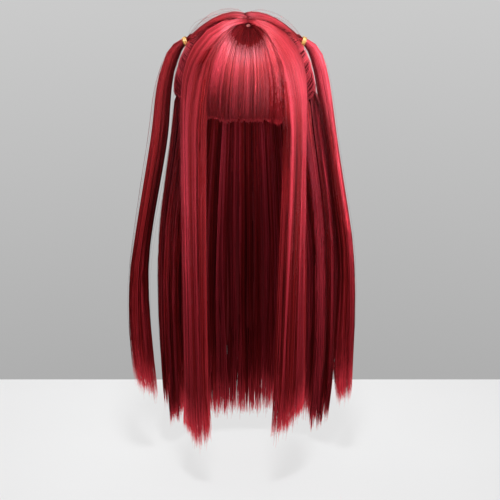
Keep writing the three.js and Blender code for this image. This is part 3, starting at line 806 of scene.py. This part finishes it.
def tones(k, clumps, broad=0.2):
    """Light and dark groups of clumps, with light and dark strands among them."""
    group = rng.normal(0, broad, clumps // 4 + 1)[k // 4]
    own = rng.normal(0.47, 0.3, clumps)[k] * 0.6 + rng.uniform(0, 1, len(k)) * 0.4
    return np.clip(group + own, 0, 1)[:, None]


def taper(share, count, tip, late, width=HALF_WIDTH):
    """Half width of each strand: fine at its root, full along it and fine at its tip."""
    shape = mix(0.5, 1, smooth(share, 0, 0.12)) * mix(1, tip, smooth(share, late, 1))
    return width * rng.uniform(0.55, 1.25, (count, 1)) * shape


def end_spread(k, clumps, even, loose):
    """How far each strand ends past its lock's tip: most just short, some well short, a few beyond."""
    lot = rng.uniform(0, 1, len(k))
    own = np.abs(rng.normal(0, even, len(k))) + rng.exponential(loose, len(k)) * (lot < 0.18)
    beyond = rng.normal(0, even * 0.5, clumps)[k] - own + rng.uniform(4, 16, len(k)) * (lot > 0.95)
    return np.minimum(beyond, 18)[:, None]


def switch(s, count, low, high):
    """1 down to a place of each strand's own between low and high, 0 past it."""
    return (s < rng.uniform(low, high, (count, 1))).astype(float)


def staggered(s, count, reach, start):
    """Stations s for each strand, those past start moved along it by a share of reach of its own."""
    s = np.asarray(s)[None]
    room = smooth(s, start, start + 0.2) * (1 - smooth(s, 1.8, 2))
    return s + rng.uniform(-reach, reach, (count, 1)) * room


def two_faced(count, clumps, k, middle):
    """Depths that crowd towards the two faces of a hanging lock."""
    v = rng.uniform(0, 1, clumps)[k] * 0.5 + rng.uniform(0, 1, count) * 0.5 - middle
    return np.clip(0.5 + 0.64 * np.sign(v) * np.abs(v) ** 0.5, 0, 1.04)[:, None]


def face_shade(v, least):
    """Painted shade: full at a lock's two faces, least in its middle."""
    return np.clip(np.abs(v - 0.5) * 2.4, least, 1)


def ragged(s, rows):
    """Stations s for each row of a core, with ends of their own."""
    return s * mix(1, rng.uniform(0.88, 1, (rows, 1)), smooth(s, 1, 1.8))


def draped(lock_path, bend, name, u, s, longer=0.0):
    """Path of a lock's strands by their depth, with the bend where they leave the head rounded off."""
    one = np.ones_like(u * s)

    def path(depth):
        return eased(lambda at: lock_path(name, u * one, depth * one, at, longer), s * one, *bend)

    return path


def comb(hair, path, v, width, tone, shade, gloss, contrast=CONTRAST):
    """Lays strands along path(v), broad side outwards, with a few fine strays standing off."""
    step = 0.08
    count, stations = width.shape
    stray = (rng.uniform(0, 1, count) < STRAY["share"])[:, None]
    far = mix(STRAY["near"], STRAY["far"], rng.uniform(0, 1, (count, 1)) ** 2)
    v = v + stray * far * np.sin(np.pi * np.linspace(0, 1, stations)[None])
    width = width * np.where(stray, STRAY["width"], 1)
    facing = path(v + step) - path(v - step)
    hair.strands(path(v), facing, width, tone, shade * np.ones_like(width), gloss, contrast)


# Locks: home is a strand's place across its lock, and tone, shade and gloss make its look; shade is
# painted shade and light, and tone holds painted light and shade besides the hair's own tones.


def bangs_shade(s, k, clumps, home, v, fan):
    """Painted shade: a dark fan of roots round the spot, deeper strands darker, and a dark hem."""
    count = len(k)
    dark = (0.03 + 0.2 * rng.uniform(0, 1, (count, 1)) ** 2) * mix(0.5, 1.8, np.abs(2 * home - 1.1) ** 1.5)
    roots = mix(dark, 0.34, smooth(s, 0.5 * fan, fan))
    roots = mix(roots, 1, smooth(s, 0.9 * fan, 1.12 * fan))
    low = rng.uniform(0.9, 1.15, clumps)[k][:, None] + rng.uniform(-0.05, 0.05, (count, 1))
    hem = mix(1, 0.27, smooth(s, 0.6, low)) - 0.12 * smooth(s, 1.6, 2)
    return np.clip((v - 0.35) / 0.5, 0.1, 1) * roots * hem


def make_bangs():
    hair = Hair()
    count, clumps = STRANDS["bangs"]
    k, home, offset = clumped(count, clumps)
    fan = mix(0.43, 0.62, np.sin(np.pi * np.clip(home, 0, 1))) * rng.uniform(0.86, 1.08, (count, 1))
    root = fan * np.array(STATIONS["bangs_root"])
    s = np.hstack([root, mix(root[:, -1:], 2, np.array(STATIONS["bangs_fall"]))])
    u = np.clip(home + offset + 0.002 * np.sin(sway(k, clumps) + 2.4 * s) * s, -0.04, 1.04)
    v = rng.uniform(0.85, 1.02, clumps)[k] - np.abs(rng.normal(0, 0.14, count))
    v = np.clip(v, 0.35, 1.02)[:, None]
    longer = (rng.normal(0, 1.2, clumps)[k] + rng.normal(0, 1.3, count))[:, None]

    def path(depth):
        return bangs_path(u, depth, s, longer)

    shade = bangs_shade(s, k, clumps, home, v, fan)
    gloss = (s > 0.97 * fan) * np.where(home > 0.8, switch(s, count, 0.7, 0.95), 1)
    width = taper(s / 2, count, tip=0.4, late=0.92)
    # Painted highlight: the fringe's left end made lighter down to the temples.
    left_painted_highlight = (1 - smooth(home, 0.05, 0.3)) * (1 - smooth(s, 0.75, 1))
    tone = mix(0.5, tones(k, clumps, 0.06), 0.7) + 0.35 * left_painted_highlight
    comb(hair, path, v, width, tone, shade, gloss)
    across, down = np.meshgrid(np.linspace(-0.02, 1.02, 30), np.linspace(0.08, 1.8, 12), indexing="ij")
    hair.core(*(bangs_path(across, depth, down) for depth in CORE_DEPTHS["bangs"]))
    settle(hair.piece("bangs_hair"), "hair", "bangs")


def sidelock_look(look, s, k, clumps, home, v):
    """Tone, shade and gloss of a side lock's strands."""
    count = len(k)

    # Painted shade: dark roots where the lock joins the fringe's fan, deeper strands darker and the lower
    # part darker; painted light on the rims along its lower part and at the tips.
    fan = 0.42 * (1 - smooth(home, 0.02, 0.14)) * rng.uniform(0.85, 1.1, (count, 1))
    shade = face_shade(v, 0.3) * mix(0.6, 1, smooth(s, 0.02, 0.14))
    shade = shade * mix(0.12, 1, smooth(s, fan - 0.08, fan + 0.02))
    painted_rim_light = peak(home, 0, 0.07) + peak(home, 1, 0.08)
    shade = shade * mix(1, mix(LOW_SHADE, 0.9, painted_rim_light), smooth(s, 1.1, 1.8)) + TIP_PAINTED_LIGHT * smooth(s, 1.88, 2)
    gloss = switch(s, count, 1.05, 1.5) * (s > fan)

    # Painted shade: a dark, dull groove beside the face; on one lock a fold painted dark, with two dark
    # lines; on the other a dull patch of painted shade.
    groove_shade = peak(home, 0.12, 0.045)
    gloss = gloss * ((groove_shade < 0.5) | (s < 0.8))
    gloss = gloss * np.where(look["fold_shade"] * (home < 0.13), switch(s, count, 0.75, 1.1), 1)
    fold_shade = look["fold_shade"] * peak(home, 0.05, 0.07) * smooth(s, 0.9, 1) * (1 - smooth(s, 1.08, 1.2))
    fold_shade_lines = look["fold_shade"] * (peak(home, 0.33, 0.03) + peak(home, 0.47, 0.025))
    fold_shade_lines = fold_shade_lines * smooth(s, 0.85, 1) * (1 - smooth(s, 1.2, 1.6))
    patch = look["patch"] * peak(home, 0.38, 0.2) * peak(s, 0.66, 0.12)
    gloss = gloss * (patch < np.random.default_rng(PATCH_SEED).uniform(0.2, 0.7, (count, 1)))
    shade = shade * (1 - 0.65 * patch)

    # Painted light and shade in the tone: a light rear edge, the lock's added tone, a light inner rim
    # lower down, a light top and the crown's added tone; the groove, fold and lines darker.
    most = 0.95
    tone = np.clip(tones(k, clumps) + 0.3 * peak(home, 1, 0.22) - 0.5 * groove_shade + look["tone"], 0, most)
    tone = np.minimum(tone + look["inner"] * peak(home, 0, 0.06) * smooth(s, 1, 1.18), most)
    tone = tone + look["top"] * (1 - smooth(s, 0.85, 1.15)) - 0.3 * fold_shade_lines - 0.7 * fold_shade
    tone = tone + look["crown"] * (1 - smooth(s, 0.46, 0.6))
    return tone, shade, gloss


def make_sidelock(name):
    hair = Hair()
    count, clumps = STRANDS["sidelock"]
    s = staggered(STATIONS["sidelock"], count, reach=0.09, start=1)
    k, home, offset = clumped(count, clumps)
    u = home + offset * mix(1, 0.8, smooth(s, 0.6, 1.2)) * mix(1, 0.35, smooth(s, 1.7, 2))
    u = u + 0.035 * np.sin(sway(k, clumps) + 3.2 * s) * smooth(s, 0.9, 2)
    u = u - 0.05 * (1 - u) * (1 - smooth(s, 0.8, 1.05))
    u = np.clip(u + rng.normal(0, 0.03, (count, 1)) * smooth(s, 1.6, 2), -0.05, 1.03)
    v = two_faced(count, clumps, k, middle=0.42)
    drift = mix(np.clip(0.6 + 0.42 * v, 0.6, 1.03), v, smooth(s, 0.8, 1.15))
    longer = end_spread(k, clumps, even=11, loose=20)
    path = draped(sidelock_path, SIDELOCK_BEND, name, u, s, longer)
    tone, shade, gloss = sidelock_look(SIDELOCK_LOOK[name], s, k, clumps, home, v)
    width = taper(s / 2, count, tip=0.12, late=0.92)
    comb(hair, path, drift, width, tone, shade, gloss, contrast=(0.25, 1.25))
    across = np.linspace(0.03, 0.97, 14)[:, None]
    down = np.concatenate([np.linspace(0.06, 1, 9)[:-1], np.linspace(1, 1.8, 11)])[None]
    core = draped(sidelock_path, SIDELOCK_BEND, name, across, ragged(down, len(across)))
    hair.core(*map(core, CORE_DEPTHS["sidelock"]))
    settle(hair.piece(f"sidelock_{name}_hair"), "hair", f"sidelock_{name}")


def gather_stations(first, start, last):
    return np.concatenate([first, np.linspace(start, 1, 7)[:-1], last])


def gather_look(look, s, k, clumps, place, v):
    """Tone, shade and gloss by place round the footing: parting, rear, underside and front."""
    front = np.clip(place * 4 - 3, 0, 1)
    # Painted shade: roots darker, most up the front crease and along the parting, deeper strands darker,
    # and darker towards the tie.
    low, high = look["crease_shade"]
    crease_shade = smooth(front, low - 0.1, low + 0.1) * (1 - smooth(front, high - 0.1, high))
    parted = smooth(place, 0, 0.02) * (1 - smooth(place, 0.23, 0.25))
    roots = mix(mix(0.85, 0.4, crease_shade), 1, smooth(s, 0, 0.14))
    roots = roots * mix(1, mix(0.2, 1, smooth(s, 0, 0.05)), parted)
    shade = np.clip((v - 0.72) / 0.2, 0.25, 1) * roots * mix(1, 0.4, smooth(s, 0.85, 1.1))
    gloss = ((s > 0.1) | (crease_shade < 0.5)) * switch(s, len(k), 0.85, 1.1)
    # Painted light: lighter tone low at the front of the footing.
    painted_light_under = smooth(place, 0.6, 0.7) * (1 - smooth(place, 0.82, 0.9))
    even = mix(1, 0.3, smooth(front, 0.15, 0.4))
    tone = 0.5 + (tones(k, clumps, 0.06) - 0.5) * even + look["tone"] * painted_light_under
    return tone, shade, gloss


def make_gather(name):
    hair = Hair()
    count, clumps = STRANDS["gather"]
    s = gather_stations([0, 0.03, 0.07, 0.13], 0.22, [1, 1.12, 1.25, 1.4])[None]
    k, home, offset = clumped(count, clumps)
    a = (home + offset) * np.ones_like(s)
    start = np.where(rng.uniform(0, 1, count) < 0.75, 0, rng.uniform(0, 0.4, count))[:, None]
    v = rng.uniform(0.9, 1.02, clumps)[k] - np.abs(rng.normal(0, 0.06, count))
    v = np.clip(v, 0.6, 1.03)[:, None]

    def path(depth):
        return gather_path(name, a, depth, s, start)

    tone, shade, gloss = gather_look(GATHER_LOOK[name], s, k, clumps, np.mod(a[:, :1], 1), v)
    width = taper(s / 1.4, count, tip=0.5, late=0.6)
    comb(hair, path, v, width, tone, shade, gloss, contrast=(1, 1.2))
    around = np.arange(48) / 48
    down = gather_stations([0, 0.04, 0.1, 0.18], 0.28, [1, 1.2, 1.38])
    rings = []
    for depth, stations in ((0, np.linspace(0.9, 0, 6)), (CORE_REACH["gather"], down)):
        at, turn = np.meshgrid(stations, around, indexing="ij")
        rings.append(gather_path(name, turn, depth, at))
    hair.bundle(np.concatenate(rings))
    settle(hair.piece(f"gather_{name}_hair"), "hair", f"gather_{name}")


def tail_shade(s, radius, outer):
    """Painted shade at the heart of a tail, along its inner side, near the tie and lower down, with
    painted light at the tips.
    """
    middle = TAIL_STATIONS // 2 - 1
    shade = np.clip((radius[:, middle, None] - 0.35) / 0.5, 0.25, 1)
    shade = shade * mix(mix(0.3, 0.7, smooth(s, 0.5, 0.9)), 1, smooth(outer, 0.15, 0.6))
    shade = shade * mix(0.55, 1, smooth(s, 0, 0.06)) * mix(1, LOW_SHADE, smooth(s, 0.2, 0.8))
    return shade + TIP_PAINTED_LIGHT * smooth(s, 0.9, 1)


def make_tail(name):
    look = TAIL_LOOK[name]
    hair = Hair()
    count, clumps = STRANDS["tail"]
    share = np.linspace(0, 1, TAIL_STATIONS)
    s = staggered(2 * share**1.7, count, reach=0.06, start=0.1) / 2
    k = rng.integers(0, clumps, count)
    turn = (2 * np.pi * (np.arange(clumps) + rng.uniform(0, 0.8, clumps)) / clumps)[k][:, None]
    r = np.sqrt(rng.uniform(0.3, 1, clumps))[k][:, None]
    wave = 0.14 * smooth(s, 0.1, 0.9) * np.sin(sway(k, clumps) + 5 * s)
    loose = 0.22 * mix(1, 0.5, smooth(s, 0.8, 1))
    x = r * np.cos(turn) + rng.normal(0, 1, (count, 1)) * loose + wave
    y = r * np.sin(turn) + rng.normal(0, 1, (count, 1)) * loose
    turn, radius = np.arctan2(y, x), np.clip(np.hypot(x, y), 1e-6, 1.04)
    outer = np.clip(0.5 - 0.5 * SIDES[name] * x, 0, 1)
    shorter = look["slant"] * outer[:, -1:] - end_spread(k, clumps, even=12, loose=20)
    reach = np.clip(1 - shorter / TAIL_LENGTH, 0.75, 1.02)

    def path(size):
        return tail_path(name, turn, size, s * reach)

    shade = tail_shade(s, radius, outer)
    gloss = switch(s, count, 0.15, 0.45)
    width = taper(share[None], count, tip=0.12, late=0.91)
    # Painted light and shade in the tone of the upper part: darker on the inner side, lighter on the outer
    # edge, most near the tie, and the tail's added tone.
    from_inner = mix(look["edge_from"], 0.4, smooth(s, 0.1, 0.3))
    edge = look["edge"] * (1 - 0.8 * smooth(s, 0.12, 0.24))
    lit = mix(-0.3, edge, smooth(outer, from_inner, from_inner + 0.45)) * (1 - smooth(s, 0.4, 0.8))
    tone = tones(k, clumps, 0.04) + mix(look["tone"], 0, smooth(s, 0.4, 0.8)) + lit
    comb(hair, path, radius, width, tone, shade, gloss)
    down = np.linspace(0, 1, 24) ** 1.4 * 0.88
    at, around = np.meshgrid(down, np.linspace(0, 2 * np.pi, 15)[:-1], indexing="ij")
    hair.bundle(tail_path(name, around, CORE_REACH["tail"], at))
    settle(hair.piece(f"tail_{name}_hair"), "hair", f"tail_{name}")


def back_look(name, s, k, clumps, home, v):
    """Tone, shade and gloss of a back lock's strands."""
    count = len(k)
    start, end, _ = BACK_LOCKS[name]
    edge = 1 - np.abs(mix(start, end, home)) / CURTAIN_EDGE
    # Painted shade: deeper strands darker, the outer edge of a loose lock darker, the roots of a crown
    # lock darker, and all darker lower down; painted light at the tips.
    if is_loose(name):
        fall = s / 2
        hidden = mix(0.3, 1, smooth(edge, 0, 0.05))
        shade = face_shade(v, 0.6) * mix(hidden, 1, smooth(s, 1.2, 1.8))
        gloss = switch(s, count, 0.3, 0.9)
        # Painted light on the loose locks at the right, painted shade on those at the left.
        own = 0.12 if start > 0 else -0.08
    else:
        fall = s - 1
        shade = face_shade(v, 0.4) * mix(0.5, 1, smooth(s, 0.02, 0.2))
        gloss = switch(s, count, 0.9, 1.4) * (v > 0.5)
        own = 0
    shade = shade * mix(1, LOW_SHADE, smooth(s, 0.9, 1.7)) + TIP_PAINTED_LIGHT * smooth(s, 1.88, 2)

    # Painted light: the locks at the right are lighter near their tops.
    lit = 1.3 * (start > 30) * peak(edge, 0.25, 0.11) * (1 - smooth(fall, 0.06, 0.32))
    tone = np.minimum(tones(k, clumps), 0.8) + 0.05 + lit + own
    return tone, shade, gloss


def make_back(name):
    loose = is_loose(name)
    kind = "loose_back" if loose else "crown_back"
    hair = Hair()
    count, clumps = STRANDS[kind]
    s = staggered(STATIONS[kind], count, reach=0.1, start=0.2 if loose else 1)
    k, home, offset = clumped(count, clumps)
    u = home + offset * mix(1, 0.9, smooth(s, 0.6, 1.2)) * mix(1, 0.5, smooth(s, 1.8, 2))
    u = u + 0.05 * np.sin(sway(k, clumps) + 3 * s) * smooth(s, 0.5, 2)
    u = np.clip(u + rng.normal(0, 0.06, (count, 1)) * smooth(s, 1.4, 2), -0.12, 1.12)
    v = two_faced(count, clumps, k, middle=0.45)
    longer = end_spread(k, clumps, even=13, loose=22)
    path = draped(back_path, BACK_BEND, name, u, s, longer)
    on_head = mix(np.clip(0.62 + 0.4 * v, 0.62, 1.03), v, smooth(s, 0.8, 1.1))
    drift = v if loose else on_head
    tone, shade, gloss = back_look(name, s, k, clumps, home, v)
    share = mix(0.12 if loose else 0, 1, s / 2)
    width = taper(share, count, tip=0.14, late=0.92, width=BACK_HALF_WIDTH)
    comb(hair, path, drift, width, tone, shade, gloss)
    across = np.linspace(-0.05, 1.05, 12)[:, None]
    down = np.linspace(0.03, 1.8 if loose else 1.88, 18)[None]
    core = draped(back_path, BACK_BEND, name, across, ragged(down, len(across)))
    hair.core(*map(core, CORE_DEPTHS["back"]))
    settle(hair.piece(f"{name}_hair"), "hair", name)


make_bangs()
for each in SIDES:
    make_sidelock(each)
    make_gather(each)
    make_tail(each)
for each in BACK_LOCKS:
    make_back(each)


# Carried-over solids


def dress(node, material):
    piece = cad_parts[node]
    piece.data.materials.clear()
    piece.data.materials.append(material)


dress("wig_cap", cap_material())
dress("scalp_patch", skin_material())
BAND = band_material()
for each in SIDES:
    dress(f"hair_tie_{each}", BAND)


# Stage, light and camera, in metres

FLOOR = {"half_width": 3.0, "near": -3.0, "far": 0.28, "z": -0.65, "glow": 0.66}
SKY_LEVELS = [(0.2, 0.4), (0.28, 0.5), (0.43, 0.7), (0.52, 0.48), (0.75, 0.7), (1.0, 1.0)]
SENSOR = 36
IMAGE_WIDTH = 500
FOCAL_PIXELS = 1166
EYE = (0.0071, -1.5, 0.245)
EYE_TILT = 20.36


def stage():
    x, near, far, z = (FLOOR[k] for k in ("half_width", "near", "far", "z"))
    mesh = bpy.data.meshes.new("floor")
    mesh.from_pydata([(-x, near, z), (x, near, z), (x, far, z), (-x, far, z)], [], [(0, 1, 2, 3)])
    floor = bpy.data.objects.new("floor", mesh)
    bpy.context.collection.objects.link(floor)
    m = Surface("pale_floor")
    grain = m.pattern("ShaderNodeTexNoise", Scale=3.0, Detail=4.0)
    m.shader.inputs["Emission Color"].default_value = (1, 1, 1, 1)
    m.shader.inputs["Emission Strength"].default_value = FLOOR["glow"]
    mesh.materials.append(m.done(m.ramp(grain, FLOOR_GREYS), roughness=0.9))
    floor.visible_glossy = False


def sky():
    """A grey studio, lightest overhead, and brighter ahead than behind the camera."""
    world = bpy.data.worlds.new("studio")
    bpy.context.scene.world = world
    world.cycles_visibility.glossy = False
    w = Nodes(world)
    split = w.new("ShaderNodeSeparateXYZ")
    w.link(w.new("ShaderNodeTexCoord").outputs["Generated"], split.inputs[0])
    height = w.ranged(split.outputs["Z"], from_min=-1)
    depth = w.ranged(split.outputs["Y"], from_min=-0.2, from_max=0.7, to_min=0.3, to_max=0.85)
    back = w.tree.nodes["Background"]
    w.link(w.ramp(height, [(at, (level,) * 3) for at, level in SKY_LEVELS]), back.inputs["Color"])
    w.link(depth, back.inputs["Strength"])


def lamp(name, at, aim, size, power, spread, shine=True):
    data = bpy.data.lights.new(name, "AREA")
    data.shape, data.size, data.energy = "SQUARE", size, power
    data.spread = math.radians(spread)
    light = bpy.data.objects.new(name, data)
    light.location = at
    light.visible_glossy = shine
    light.visible_camera = False
    direction = Vector(aim) - Vector(at)
    light.rotation_euler = direction.to_track_quat("-Z", "Y").to_euler()
    bpy.context.collection.objects.link(light)


def camera():
    data = bpy.data.cameras.new("camera")
    data.sensor_width, data.lens = SENSOR, SENSOR * FOCAL_PIXELS / IMAGE_WIDTH
    data.clip_start, data.clip_end = 0.05, 50
    eye = bpy.data.objects.new("camera", data)
    eye.location = EYE
    eye.rotation_euler = (math.radians(90 - EYE_TILT), 0, 0)
    bpy.context.collection.objects.link(eye)
    bpy.context.scene.camera = eye


stage()
sky()
lamp("top", at=(0, -0.14, 1), aim=(0, -0.02, -0.05), size=0.9, power=10.5, spread=170)
lamp("ring", at=(0.02, -0.56, 1.08), aim=(0, -0.06, -0.03), size=0.22, power=1.6, spread=40)
lamp("key", at=(1, -0.42, 0.15), aim=(0.08, 0, -0.05), size=0.6, power=1.25, spread=50)
lamp("side", at=(0.24, -1.6, -0.3), aim=(0.125, 0, -0.08), size=0.35, power=0.28, spread=8, shine=False)
lamp("front", at=(0, -2, 0.8), aim=(0, 0, -0.25), size=2.2, power=14, spread=100, shine=False)
camera()
bpy.context.scene.view_settings.view_transform = "Standard"
